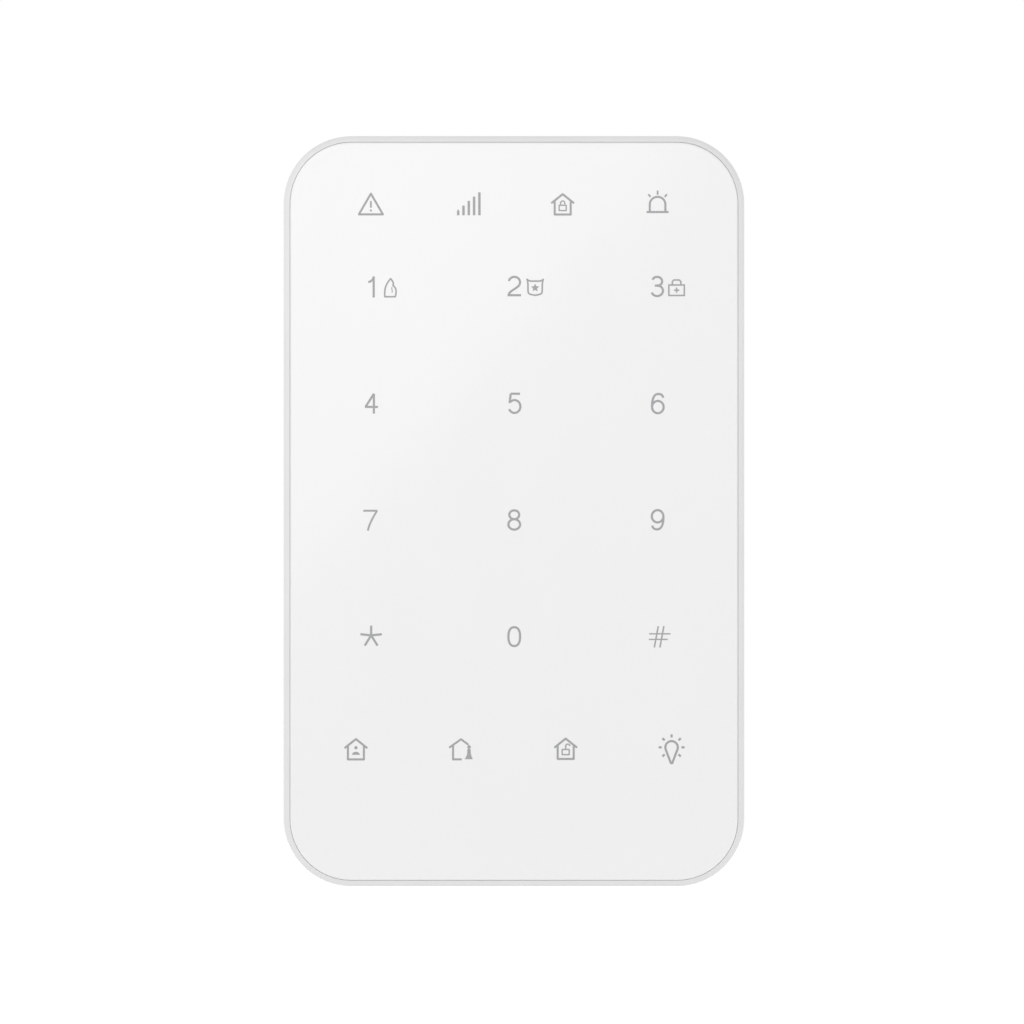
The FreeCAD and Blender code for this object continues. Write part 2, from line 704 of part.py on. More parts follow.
def reset_switch():
    return switch_body(*RESET, *RESET_SWITCH, RESET_BORE_END)


def reset_actuator():
    return rod(*RESET, ACTUATOR_R, RESET_END, RESET_ACTUATOR_END)


def reset_button():
    return join([rod(*RESET, RESET_R, RESET_NEAR, RESET_END), rod(*RESET, *RESET_FLANGE)])


# ---------------------------------------------------------------- fasteners
def case_screws():
    """Self-tapping screws from the rear cover into the front cover."""
    head_top, recess_size, recess_end = CASE_SEAT - 1.5, 2.2, 5.5
    screws = []
    for x, z in CASE_BOSSES:
        head = rod(x, z, CASE_HEAD_R, head_top, CASE_SEAT)
        shank = rod(x, z, CASE_SHANK_R, CASE_SEAT, CASE_SCREW_END)
        recess = cross_recess(x, z, recess_size, head_top - OVER, recess_end)
        screws.append(join([head, shank]).cut(recess))
    return group(screws)


def pcb_screws():
    """Self-tapping screws from the board's front into the rear cover's posts."""
    head_top, recess_size, recess_floor = BOARD_FRONT + 1.3, 2.0, BOARD_FRONT + 0.6
    screws = []
    for x, z in BOARD_POSTS:
        head = rod(x, z, BOARD_HEAD_R, BOARD_FRONT, head_top)
        shank = rod(x, z, BOARD_SHANK_R, BOARD_FRONT - BOARD_SCREW_LENGTH, BOARD_FRONT)
        recess = cross_recess(x, z, recess_size, recess_floor, head_top + OVER)
        screws.append(join([head, shank]).cut(recess))
    return group(screws)


def retaining_screw():
    """Upright machine screw whose head, with a cross recess, looks down out of the underside."""
    head_round, recess_floor = 0.4, SCREW_SEAT - 0.6
    head_low = SCREW_SEAT - SCREW_HEAD
    head = upright(0.0, SCREW_DEPTH, SCREW_HEAD_R, head_low, SCREW_SEAT)
    low_rim = [e for e in head.Edges if e.Closed and e.CenterOfMass.z < head_low + 0.1]
    head = head.makeFillet(head_round, low_rim)
    shank = upright(0.0, SCREW_DEPTH, SCREW_R, SCREW_SEAT, SCREW_END)
    half_slot, reach = 0.4, 1.7
    cross = []
    for across, deep in ((reach, half_slot), (half_slot, reach)):
        depths = (SCREW_DEPTH - deep, SCREW_DEPTH + deep)
        cross.append(block(-across, across, head_low - OVER, recess_floor, *depths))
    return join([head, shank]).cut(join(cross))


# ---------------------------------------------------------------- bracket
def hook(x, z):
    """Hook that points up and reaches through the rear cover's back wall."""
    left, right = x - HOOK_W / 2, x + HOOK_W / 2
    root, foot_drop, foot_far = PLATE - BITE, 2.0, BACK_OUT - 0.2
    head_near = BACK_IN + FIT
    head_far = head_near + HOOK_HEAD
    neck = block(left, right, z, z + HOOK_NECK, root, head_far)
    head = block(left, right, z, z + HOOK_NECK + HOOK_REACH, head_near, head_far)
    foot = block(left, right, z - foot_drop, z + HOOK_NECK, root, foot_far)
    return [neck, head, foot]


def hook_window(x, z):
    """Opening under a hook's head, which lets the mould form it."""
    top = z + HOOK_NECK + HOOK_REACH + FIT
    half = HOOK_W / 2 + FIT
    return block(x - half, x + half, z + HOOK_NECK, top, -OVER, PLATE + OVER)


def wall_holes():
    """(x, z) of the four holes for wall screws."""
    dx, dz = (s / 2 for s in WALL_HOLE_SPACING)
    return [(sx * dx, WALL_HOLE_Z + sz * dz) for sx in (-1, 1) for sz in (-1, 1)]


def bracket_slab(inset, near, far):
    """The bracket's outline, drawn in by inset."""
    gap = POCKET + BRACKET_GAP + inset
    top, bottom = HEIGHT / 2 - gap, BRACKET_BOTTOM + inset
    return slab(WIDTH - 2 * gap, top - bottom, CORNER - gap, near, far, 0.0, (top + bottom) / 2)


def relief_pockets():
    """Shallow pockets of the wall side, which leave a border, ribs and a pad round each wall screw."""
    rows = 4
    top, bottom = HEIGHT / 2 - POCKET - BRACKET_GAP - BRACKET_BORDER, BRACKET_BOTTOM + BRACKET_BORDER
    pitch = (top - bottom + BRACKET_BORDER) / rows
    pockets = []
    for row in range(rows):
        z = bottom + row * pitch
        for x0, x1 in ((-WIDTH, -SPINE), (SPINE, WIDTH)):
            pockets.append(block(x0, x1, z, z + pitch - BRACKET_BORDER, -OVER, POCKET_DEPTH))
    inside = bracket_slab(BRACKET_BORDER, -OVER, POCKET_DEPTH)
    pads = [rod(x, z, SCREW_PAD, -2 * OVER, PLATE) for x, z in wall_holes()]
    return group(pockets).common(inside).cut(group(pads))


def wall_screw_hole(x, z):
    """Straight hole with a countersink on the user's side."""
    top_r = WALL_HOLE_R + COUNTERSINK
    start, away = at(x, z, PLATE - COUNTERSINK), FreeCAD.Vector(0, -1, 0)
    sink = Part.makeCone(WALL_HOLE_R, top_r, COUNTERSINK, start, away)
    return [rod(x, z, WALL_HOLE_R, -OVER, PLATE + OVER), sink]


def tamper_slot():
    """Slot that the tamper plunger goes through, and slides along as the unit comes off."""
    x, z = TAMPER
    width = 2 * (TAMPER_R + 1.0)
    height, corner = width + SLIDE_OFF, width / 2 - 0.01
    return slab(width, height, corner, -OVER, PLATE + OVER, x, z + SLIDE_OFF / 2)


def wall_bracket():
    plate = bracket_slab(0.0, 0.0, PLATE).cut(relief_pockets())
    lug = block(-LUG_HALF, LUG_HALF, BRACKET_BOTTOM, LUG_TOP, PLATE - BITE, LUG_DEPTH)
    parts = [plate, lug]
    for x, z in HOOKS:
        parts += hook(x, z)

    cutters = [upright(0.0, SCREW_DEPTH, SCREW_HOLE_R, BRACKET_BOTTOM - OVER, LUG_TOP + OVER)]
    cutters += [hook_window(x, z) for x, z in HOOKS]
    for x, z in wall_holes():
        cutters += wall_screw_hole(x, z)
    cutters.append(tamper_slot())
    return join(parts).cut(group(cutters))


NODES = {
    "wall_bracket": wall_bracket,
    "rear_cover": rear_cover,
    "front_cover": front_cover,
    "touch_panel": touch_panel,
    "panel_adhesive": panel_adhesive,
    "touch_film": touch_film,
    "film_tail": film_tail,
    "film_connector": film_connector,
    "light_shield": light_shield,
    "main_pcb": main_pcb,
    "key_leds": key_leds,
    "indicator_leds": indicator_leds,
    "microcontroller": microcontroller,
    "touch_controller": touch_controller,
    "radio_module": radio_module,
    "radio_antenna": radio_antenna,
    "chip_components": chip_components,
    "buffer_capacitor": buffer_capacitor,
    "buzzer": buzzer,
    "battery_plates": battery_plates,
    "battery_springs": battery_springs,
    "tamper_plunger": tamper_plunger,
    "tamper_spring": tamper_spring,
    "tamper_switch": tamper_switch,
    "tamper_actuator": tamper_actuator,
    "reset_button": reset_button,
    "reset_switch": reset_switch,
    "reset_actuator": reset_actuator,
    "case_screws": case_screws,
    "pcb_screws": pcb_screws,
    "retaining_screw": retaining_screw,
}


def main():
    os.makedirs("parts", exist_ok=True)
    shapes = {name: make() for name, make in NODES.items()}
    for index in range(4):
        shapes[f"battery_{index + 1}"] = battery(index)
    for name, shape in shapes.items():
        shape.exportStep(f"parts/{name}.step")
        print(f"{name}: {len(shape.Solids)} solids, {shape.Volume:.1f} mm3, valid {shape.isValid()}")


main()
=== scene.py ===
"""Looks of a wall-mounted touch keypad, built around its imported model.

Lengths are in metres, apart from the legends on the panel, which are drawn in millimetres.
"""
import math

import bmesh
import bpy
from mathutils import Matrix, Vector
from mathutils.geometry import delaunay_2d_cdt


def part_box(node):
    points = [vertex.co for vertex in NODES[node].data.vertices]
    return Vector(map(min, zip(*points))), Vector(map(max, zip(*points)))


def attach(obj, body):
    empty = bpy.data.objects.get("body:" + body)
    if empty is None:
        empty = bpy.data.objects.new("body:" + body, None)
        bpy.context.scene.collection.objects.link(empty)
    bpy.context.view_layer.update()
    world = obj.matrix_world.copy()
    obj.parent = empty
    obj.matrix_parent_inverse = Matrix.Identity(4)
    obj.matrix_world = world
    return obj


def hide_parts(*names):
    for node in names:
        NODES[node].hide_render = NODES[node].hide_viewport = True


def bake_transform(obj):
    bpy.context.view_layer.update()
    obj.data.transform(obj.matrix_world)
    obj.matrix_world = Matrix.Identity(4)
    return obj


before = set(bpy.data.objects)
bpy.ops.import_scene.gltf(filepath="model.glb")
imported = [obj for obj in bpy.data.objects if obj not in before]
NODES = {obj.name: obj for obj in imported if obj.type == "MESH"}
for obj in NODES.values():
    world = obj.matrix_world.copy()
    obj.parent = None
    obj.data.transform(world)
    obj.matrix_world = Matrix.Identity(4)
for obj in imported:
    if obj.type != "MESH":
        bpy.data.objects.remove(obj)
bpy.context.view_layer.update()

MM = 0.001
PANEL_LOW, PANEL_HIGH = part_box("touch_panel")
FRONT = PANEL_LOW.y                      # the panel's front plane, and the user is on its -Y side
MIDDLE = (PANEL_LOW + PANEL_HIGH) / 2


def grey(value):
    return (value, value, value, 1.0)


# ------------------------------------------------------------------ materials
NOISE = (0.3, 0.7)                       # where nearly all of a noise texture's values lie
TWO_NOISES = (0.7, 1.3)                  # the same for the sum of two


class Look:
    """A Principled material, with shorthand for the nodes that vary it over the surface."""

    def __init__(self, name, **constants):
        self.material = bpy.data.materials.new(name)
        self.material.use_nodes = True
        self.nodes = self.material.node_tree.nodes
        self.links = self.material.node_tree.links
        self.shader = self.nodes["Principled BSDF"]
        for socket, value in constants.items():
            self.shader.inputs[socket.replace("_", " ")].default_value = value
        coordinates = self.nodes.new("ShaderNodeTexCoord")
        self.place = coordinates.outputs["Object"]
        self.facing = coordinates.outputs["Normal"]

    def node(self, kind, inputs, **settings):
        made = self.nodes.new("ShaderNode" + kind)
        for key, value in settings.items():
            setattr(made, key, value)
        for key, value in inputs.items():
            if isinstance(value, bpy.types.NodeSocket):
                self.links.new(value, made.inputs[key])
            else:
                made.inputs[key].default_value = value
        return made

    def stretched(self, factors):
        return self.node("Mapping", {"Vector": self.place, "Scale": factors}).outputs[0]

    def noise(self, size, detail=3.0, stretch=None):
        """Soft noise whose features are about size across."""
        vector = self.stretched(stretch) if stretch else self.place
        inputs = {"Vector": vector, "Scale": 1.0 / size, "Detail": detail}
        return self.node("TexNoise", inputs).outputs["Fac"]

    def cells(self, size, feature="F1"):
        """Distance from the middle of cells about size across, as a share of it."""
        inputs = {"Vector": self.place, "Scale": 1.0 / size}
        return self.node("TexVoronoi", inputs, feature=feature).outputs["Distance"]

    def maths(self, operation, *values):
        return self.node("Math", dict(enumerate(values)), operation=operation).outputs[0]

    def mapped(self, value, low, high, to_low, to_high):
        inputs = {"Value": value, "From Min": low, "From Max": high, "To Min": to_low, "To Max": to_high}
        return self.node("MapRange", inputs).outputs["Result"]

    def mixed(self, share, first, second):
        """Colour that goes from first to second as share goes from 0 to 1."""
        inputs = {0: share, 6: first, 7: second}
        return self.node("Mix", inputs, data_type="RGBA").outputs[2]

    def axis(self, index, of=None):
        return self.node("SeparateXYZ", {0: of or self.place}).outputs[index]

    def beyond(self, value, limit, soft=1e-5):
        """1 where value is over limit and 0 where it is under it."""
        return self.mapped(value, limit - soft, limit + soft, 0.0, 1.0)

    def inside(self, value, full, none):
        """1 where value is under full, falling to 0 at none."""
        return self.mapped(value, full, none, 1.0, 0.0)

    def faces(self, index, sign):
        """1 on the faces that look along an axis, in the direction of sign."""
        return self.beyond(self.maths("MULTIPLY", self.axis(index, self.facing), sign), 0.7, 0.05)

    def off_centre(self, index, centre):
        return self.maths("ABSOLUTE", self.maths("SUBTRACT", self.axis(index), centre))

    def radial(self, first, second):
        """Distance from a line along the third axis; each argument is (axis, place on it)."""
        squares = []
        for index, centre in (first, second):
            offset = self.maths("SUBTRACT", self.axis(index), centre)
            squares.append(self.maths("MULTIPLY", offset, offset))
        return self.maths("SQRT", self.maths("ADD", *squares))

    def tinted(self, colour, spread, by):
        """Colour from darker to lighter by spread, as a noise goes over its range."""
        darker = tuple(c * (1.0 - spread) for c in colour[:3]) + (1.0,)
        lighter = tuple(min(1.0, c * (1.0 + spread)) for c in colour[:3]) + (1.0,)
        return self.mixed(self.mapped(by, *NOISE, 0.0, 1.0), darker, lighter)

    def sheen(self, by, low, high, span=NOISE):
        """Roughness from low to high, as by goes over its span."""
        self.link("Roughness", self.mapped(by, *span, low, high))

    def relief(self, height, depth):
        """Bump of height's full range, depth metres high, on top of any earlier bump."""
        inputs = {"Height": height, "Distance": depth, "Strength": 1.0}
        if self.shader.inputs["Normal"].is_linked:
            inputs["Normal"] = self.linked("Normal")
        self.link("Normal", self.node("Bump", inputs).outputs[0])

    def link(self, socket, source):
        self.links.new(source, self.shader.inputs[socket])

    def linked(self, socket):
        """What a socket of the shader is linked to so far."""
        return self.shader.inputs[socket].links[0].from_socket


def moulded(name, colour, roughness, grain=0.12 * MM, depth=4e-6, flow=0.012, **constants):
    """Moulded plastic: eroded-tool grain, faint flow marks and a patchy sheen."""
    look = Look(name, **constants)
    fine = look.noise(grain, 4.0)
    patches = look.noise(9 * MM, 2.0)
    look.link("Base Color", look.tinted(colour, flow, patches))
    look.sheen(look.maths("ADD", fine, patches), *roughness, TWO_NOISES)
    look.relief(fine, depth)
    return look


def housing_white():
    look = moulded("housing_white", (0.722, 0.722, 0.72, 1.0), (0.36, 0.48), IOR=1.5)
    look.relief(look.cells(0.32 * MM, "SMOOTH_F1"), 3e-6)
    return look.material


def panel_white():
    """Glossy hard-coated sheet: nearly flat, with a long faint waviness and wiped-on haze."""
    look = Look("panel_white", IOR=1.49, Coat_Weight=0.15, Coat_Roughness=0.05)
    wipes = look.noise(14 * MM, 3.0, stretch=(1.0, 1.0, 0.45))
    haze = look.noise(0.5 * MM, 2.0)
    look.link("Base Color", look.tinted((0.815, 0.814, 0.813, 1.0), 0.004, wipes))
    look.sheen(look.maths("ADD", wipes, haze), 0.07, 0.105, TWO_NOISES)
    look.relief(look.noise(26 * MM, 1.0), 1.2e-6)
    look.relief(look.noise(0.9 * MM, 2.0), 8e-8)
    return look.material


def legend_grey():
    """Printed windows: slightly uneven ink with a satin face."""
    look = Look("legend_grey", IOR=1.49)
    ink = look.noise(0.18 * MM, 3.0)
    look.link("Base Color", look.tinted((0.338, 0.342, 0.346, 1.0), 0.05, ink))
    look.sheen(ink, 0.2, 0.34)
    look.relief(ink, 1.5e-6)
    return look.material


def adhesive_foam():
    look = moulded("adhesive_foam", (0.74, 0.73, 0.69, 1.0), (0.75, 0.92), grain=0.3 * MM)
    look.relief(look.cells(0.22 * MM), 3e-5)
    return look.material


def film_clear():
    """Milky polyester sheet with a fine printed sensor mesh."""
    look = Look("film_clear", IOR=1.6)
    spacing = 0.8 * MM
    cloud = look.noise(7 * MM, 2.0)
    across = look.maths("PINGPONG", look.axis(0), spacing)
    along = look.maths("PINGPONG", look.axis(2), spacing)
    mesh = look.inside(look.maths("MINIMUM", across, along), 0.05 * MM, 0.09 * MM)
    sheet = look.tinted((0.74, 0.76, 0.74, 1.0), 0.03, cloud)
    look.link("Base Color", look.mixed(mesh, sheet, (0.42, 0.43, 0.42, 1.0)))
    look.sheen(look.maths("ADD", cloud, mesh), 0.12, 0.4, span=(0.3, 1.6))
    look.relief(mesh, 8e-6)
    return look.material


def shield_white():
    return moulded("shield_white", (0.82, 0.82, 0.8, 1.0), (0.5, 0.65), depth=8e-6).material


def board(name, mask, copper):
    """Circuit board: solder mask over runs of traces, dots of vias, and glass-fibre edges."""
    look = Look(name, IOR=1.55)
    pitch, width, zone, via_spacing = 0.55 * MM, 0.13 * MM, 11 * MM, 3.1 * MM
    zones = look.node("TexVoronoi", {"Vector": look.place, "Scale": 1.0 / zone}, distance="CHEBYCHEV")
    turn = look.beyond(look.axis(0, zones.outputs["Color"]), 0.5)
    runs = []
    for index in (0, 2):
        off_line = look.maths("PINGPONG", look.axis(index), pitch)
        runs.append(look.inside(off_line, width, width + 0.03 * MM))
    upright, level = runs
    chosen = look.node("Mix", {0: turn, 2: upright, 3: level}).outputs[0]
    routed = look.beyond(look.noise(6 * MM, 1.0), 0.46, 0.01)
    traces = look.maths("MULTIPLY", chosen, routed)
    vias = look.inside(look.cells(via_spacing), 0.09, 0.1)
    solder = look.inside(look.cells(via_spacing), 0.05, 0.055)
    raised = look.maths("MAXIMUM", traces, vias)
    colour = look.mixed(raised, look.tinted(mask, 0.08, look.noise(4 * MM)), copper)
    colour = look.mixed(solder, colour, (0.62, 0.6, 0.55, 1.0))
    flat = look.beyond(look.maths("ABSOLUTE", look.axis(1, look.facing)), 0.5, 0.05)
    glass = look.tinted((0.42, 0.4, 0.2, 1.0), 0.2, look.noise(0.3 * MM, 2.0, stretch=(1.0, 8.0, 1.0)))
    look.link("Base Color", look.mixed(flat, glass, colour))
    look.sheen(look.noise(0.6 * MM), 0.22, 0.38)
    look.relief(raised, 2.5e-5)
    return look


def board_green():
    return board("board_green", (0.012, 0.13, 0.05, 1.0), (0.03, 0.235, 0.09, 1.0)).material


def board_blue():
    """Radio module: a blue board with a stamped tin can on it, which stands nearer to the wall."""
    look = board("board_blue", (0.01, 0.045, 0.2, 1.0), (0.03, 0.1, 0.34, 1.0))
    can_from = 0.85 * MM
    low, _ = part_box("radio_module")
    can = look.beyond(look.axis(1), low.y + can_from)
    tin = look.tinted((0.62, 0.62, 0.6, 1.0), 0.06, look.noise(1.5 * MM, 3.0, stretch=(1.0, 1.0, 6.0)))
    look.link("Base Color", look.mixed(can, look.linked("Base Color"), tin))
    look.link("Metallic", can)
    return look.material


def led_diffuser():
    """Small light: white body with a yellow phosphor face towards the user."""
    look = Look("led_diffuser", IOR=1.52)
    speckle = look.noise(0.15 * MM)
    body = look.tinted((0.82, 0.82, 0.78, 1.0), 0.03, speckle)
    phosphor = look.tinted((0.86, 0.74, 0.22, 1.0), 0.06, speckle)
    look.link("Base Color", look.mixed(look.faces(1, -1), body, phosphor))
    look.sheen(speckle, 0.25, 0.45)
    look.relief(speckle, 5e-6)
    return look.material


def chip_black(name, body=None):
    """Moulded epoxy. body is the half width of a package, past which its leads are tin."""
    epoxy, roughness = (0.022, 0.022, 0.024, 1.0), (0.48, 0.66)
    look = moulded(f"chip_black_{name}", epoxy, roughness, grain=0.07 * MM, flow=0.15)
    if body:
        low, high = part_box(name)
        centre = (low + high) / 2
        side = look.maths("MAXIMUM", look.off_centre(0, centre.x), look.off_centre(2, centre.z))
        lead = look.beyond(side, body)
        to_corner = 0.62 * body
        mark = look.radial((0, centre.x - to_corner), (2, centre.z + to_corner))
        dimple = look.inside(mark, 0.09 * body, 0.11 * body)
        look.link("Base Color", look.mixed(lead, look.linked("Base Color"), (0.66, 0.65, 0.62, 1.0)))
        look.link("Metallic", lead)
        look.relief(dimple, -4e-5)
    return look.material


def ceramic_tan():
    """Rows of small parts: tan capacitors and dark resistors, each with its own shade."""
    look = Look("ceramic_tan", IOR=1.6)
    island = look.node("NewGeometry", {}).outputs["Random Per Island"]
    grain = look.noise(0.1 * MM)
    tan = look.tinted((0.5, 0.36, 0.22, 1.0), 0.12, grain)
    dark = look.tinted((0.03, 0.03, 0.032, 1.0), 0.2, grain)
    look.link("Base Color", look.mixed(look.beyond(island, 0.55), tan, dark))
    look.sheen(grain, 0.35, 0.55)
    look.relief(grain, 4e-6)
    return look.material


def capacitor_can():
    """Aluminium can with a dark mark over part of its top, on a black base."""
    look = Look("capacitor_can", IOR=1.5)
    base_top, mark_from = 0.95 * MM, 1.2 * MM
    low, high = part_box("buffer_capacitor")
    centre = (low + high) / 2
    brushed = look.noise(0.3 * MM, 4.0, stretch=(1.0, 12.0, 1.0))
    aluminium = look.tinted((0.7, 0.71, 0.72, 1.0), 0.05, brushed)
    base = look.inside(look.axis(1), low.y + base_top, low.y + base_top + 0.05 * MM)
    mark = look.maths("MULTIPLY", look.faces(1, 1), look.beyond(look.axis(2), centre.z + mark_from))
    dark = look.maths("MAXIMUM", base, mark)
    look.link("Base Color", look.mixed(dark, aluminium, (0.02, 0.02, 0.022, 1.0)))
    look.link("Metallic", look.maths("SUBTRACT", 1.0, dark))
    look.sheen(brushed, 0.24, 0.4)
    look.relief(brushed, 2e-6)
    return look.material


def connector_ivory():
    return moulded("connector_ivory", (0.66, 0.62, 0.5, 1.0), (0.4, 0.55), flow=0.03).material


def buzzer_black():
    black, roughness = (0.028, 0.028, 0.03, 1.0), (0.35, 0.5)
    return moulded("buzzer_black", black, roughness, grain=0.2 * MM, flow=0.1).material


def metal(name, colour, roughness, drawn=(1.0, 1.0, 1.0), patches=0.06):
    """Plated metal with fine drawing lines and a mottled plating."""
    look = Look(name, Metallic=1.0, IOR=1.5)
    lines = look.noise(0.16 * MM, 4.0, stretch=drawn)
    mottle = look.noise(1.8 * MM, 3.0)
    look.link("Base Color", look.tinted(colour, patches, mottle))
    look.sheen(look.maths("ADD", lines, mottle), *roughness, TWO_NOISES)
    look.relief(lines, 2e-6)
    return look.material


def contact_nickel():
    return metal("contact_nickel", (0.66, 0.63, 0.57, 1.0), (0.18, 0.34), drawn=(1.0, 1.0, 0.1))


def spring_steel():
    return metal("spring_steel", grey(0.58), (0.2, 0.36))


def screw_steel():
    return metal("screw_steel", (0.63, 0.63, 0.62, 1.0), (0.22, 0.4), patches=0.1)


def cell_jacket(node):
    """Plain cell: pale wrap with a slate band and ring by its positive end, and bare steel ends."""
    widest_nub, nub_end, soft = 3 * MM, 1.25 * MM, 0.1 * MM
    band_start, band_end, ring_middle, ring_half = 2.6 * MM, 11.9 * MM, 13.5 * MM, 0.4 * MM
    look = Look(f"cell_jacket_{node}", IOR=1.5)
    low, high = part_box(node)
    centre = (low + high) / 2
    tip = max(NODES[node].data.vertices, key=lambda v: v.co.z).co
    up = 1.0 if Vector((tip.x - centre.x, tip.y - centre.y)).length < widest_nub else -1.0
    end = high.z if up > 0 else low.z
    from_end = look.maths("MULTIPLY", look.maths("SUBTRACT", end, look.axis(2)), up)
    past_start = look.beyond(from_end, band_start)
    before_end = look.inside(from_end, band_end, band_end + soft)
    band = look.maths("MULTIPLY", past_start, before_end)
    ring = look.maths("COMPARE", from_end, ring_middle, ring_half)
    scuffs = look.noise(2.4 * MM, 4.0, stretch=(1.0, 1.0, 0.3))
    wrap = look.tinted((0.66, 0.67, 0.68, 1.0), 0.03, scuffs)
    colour = look.mixed(look.maths("MAXIMUM", band, ring), wrap, (0.06, 0.13, 0.2, 1.0))
    flat_end = look.beyond(look.maths("ABSOLUTE", look.axis(2, look.facing)), 0.9, 0.05)
    nub = look.inside(from_end, nub_end, nub_end + soft)
    bare = look.maths("MAXIMUM", flat_end, nub)
    look.link("Base Color", look.mixed(bare, colour, (0.62, 0.61, 0.58, 1.0)))
    look.link("Metallic", bare)
    look.sheen(scuffs, 0.2, 0.36)
    look.relief(scuffs, 3e-6)
    return look.material


def plunger_white():
    return moulded("plunger_white", (0.78, 0.78, 0.75, 1.0), (0.25, 0.38), depth=2e-6).material


def button_grey():
    return moulded("button_grey", (0.32, 0.33, 0.34, 1.0), (0.4, 0.56), flow=0.03).material


def paint(material, *nodes):
    for name in nodes:
        NODES[name].material_slots[0].material = material


def paint_frame():
    paint(housing_white(), "front_cover", "rear_cover", "wall_bracket")
    paint(panel_white(), "touch_panel")
    paint(adhesive_foam(), "panel_adhesive")
    paint(film_clear(), "touch_film", "film_tail")
    paint(shield_white(), "light_shield")
    paint(board_green(), "main_pcb")
    paint(board_blue(), "radio_module")
    paint(led_diffuser(), "key_leds", "indicator_leds")
    paint(chip_black("microcontroller", 4.5 * MM), "microcontroller")
    paint(chip_black("touch_controller", 2.5 * MM), "touch_controller")
    paint(chip_black("switches"), "tamper_switch", "reset_switch")
    paint(ceramic_tan(), "chip_components")
    paint(capacitor_can(), "buffer_capacitor")
    paint(connector_ivory(), "film_connector")
    paint(buzzer_black(), "buzzer")
    paint(contact_nickel(), "battery_plates", "battery_springs")
    paint(spring_steel(), "radio_antenna")
    paint(screw_steel(), "case_screws", "pcb_screws", "retaining_screw")
    paint(plunger_white(), "tamper_plunger")
    paint(button_grey(), "tamper_actuator", "reset_button", "reset_actuator")
    for index in range(1, 5):
        paint(cell_jacket(f"battery_{index}"), f"battery_{index}")


# ------------------------------------------------------------------ flat drawing, in millimetres
STROKE = 0.42
DIGIT_STROKE = 0.44
ROUND_JOIN = 0.75                        # cosine of the turn past which a corner is rounded
ARC_STEP = 12                            # degrees


def arc(x, z, rx, rz, start, end):
    """Points on an ellipse, from one angle to another in degrees."""
    steps = max(3, round(abs(end - start) / ARC_STEP))
    angles = [math.radians(start + (end - start) * i / steps) for i in range(steps + 1)]
    return [Vector((x + rx * math.cos(a), z + rz * math.sin(a))) for a in angles]


def oval(rx, rz, squareness=2.0, z=0.0):
    """Closed curve from an ellipse, at 2, to a rounded box at more."""
    count = 44
    points = []
    for i in range(count):
        angle = 2 * math.pi * i / count
        c, s = math.cos(angle), math.sin(angle)
        points.append(Vector((rx * math.copysign(abs(c) ** (2 / squareness), c),
                              z + rz * math.copysign(abs(s) ** (2 / squareness), s))))
    return points


def curve(start, pull, push, end):
    """Points on a cubic curve."""
    a, b, c, d = (Vector(p) for p in (start, pull, push, end))
    steps = 14
    points = []
    for i in range(steps + 1):
        t = i / steps
        s = 1 - t
        points.append(a * s ** 3 + b * 3 * s * s * t + c * 3 * s * t * t + d * t ** 3)
    return points


def disc(x, z, radius):
    return arc(x, z, radius, radius, 0, 360 - ARC_STEP)


def towards(angle):
    """Unit vector at an angle in degrees."""
    return Vector((math.cos(math.radians(angle)), math.sin(math.radians(angle))))


def square_to(direction):
    return Vector((-direction.y, direction.x))


def stroke(points, width=STROKE, closed=False, round_ends=False):
    """Polygons that together cover a line of some width."""
    points = [Vector(p) for p in points]
    half = width / 2
    count = len(points)
    runs = [(i, (i + 1) % count) for i in range(count if closed else count - 1)]
    ways = [(points[b] - points[a]).normalized() for a, b in runs]
    polygons = []
    ends = []
    for i, (a, b) in enumerate(runs):
        sides = []
        for place, other in ((a, i - 1), (b, i + 1)):
            offset = square_to(ways[i]) * half
            if closed or 0 <= other < len(runs):
                beside = ways[other % len(runs)]
                if ways[i].dot(beside) > ROUND_JOIN:
                    halfway = (ways[i] + beside).normalized()
                    offset = square_to(halfway) * (half / halfway.dot(ways[i]))
                elif place == b:
                    polygons.append(disc(*points[b], half))
            elif round_ends:
                ends.append(points[place])
            sides.append((points[place] + offset, points[place] - offset))
        (start_left, start_right), (end_left, end_right) = sides
        polygons.append([start_right, end_right, end_left, start_left])
    return polygons + [disc(*place, half) for place in ends]


def turned(polygons):
    """The same drawing turned half round."""
    return [[-p for p in polygon] for polygon in polygons]


def moved(polygons, x, z):
    return [[Vector(p) + Vector((x, z)) for p in polygon] for polygon in polygons]


# Digits: DIGIT_TOP is the middle of the highest stroke, and the strokes' ends reach DIGIT_END
DIGIT_TOP = 1.88
DIGIT_END = 2.1
DIGIT_FOOT = 1.97                        # the same below, for the digits with a round foot


def pen(*parts, closed=False, width=DIGIT_STROKE):
    points = [Vector(p) for part in parts for p in part]
    kept = [p for i, p in enumerate(points) if i == 0 or (p - points[i - 1]).length > 1e-4]
    return stroke(kept, width, closed)


def zero():
    return pen(oval(1.17, DIGIT_TOP, 2.35), closed=True)


def one():
    flag = curve((-0.72, 0.98), (-0.2, 1.08), (0.3, 1.42), (0.36, DIGIT_END))
    return pen(flag) + pen([(0.36, DIGIT_END), (0.36, -DIGIT_END)])


def two():
    top = arc(-0.02, 0.82, 1.13, DIGIT_TOP - 0.82, 168, -12)
    base = -1.8
    down = curve(top[-1], (0.98, -0.42), (-1.02, -0.7), (-1.2, base))
    return pen(top, down) + pen([(-1.4, base), (1.32, base)])


def three():
    upper = arc(-0.04, 0.97, 1.0, DIGIT_TOP - 0.97, 158, -90)
    lower = arc(-0.04, -0.9, 1.16, DIGIT_FOOT - 0.9, 90, -160)
    return pen(upper) + pen(lower) + pen([(-0.5, 0.12), (0.0, 0.12)])


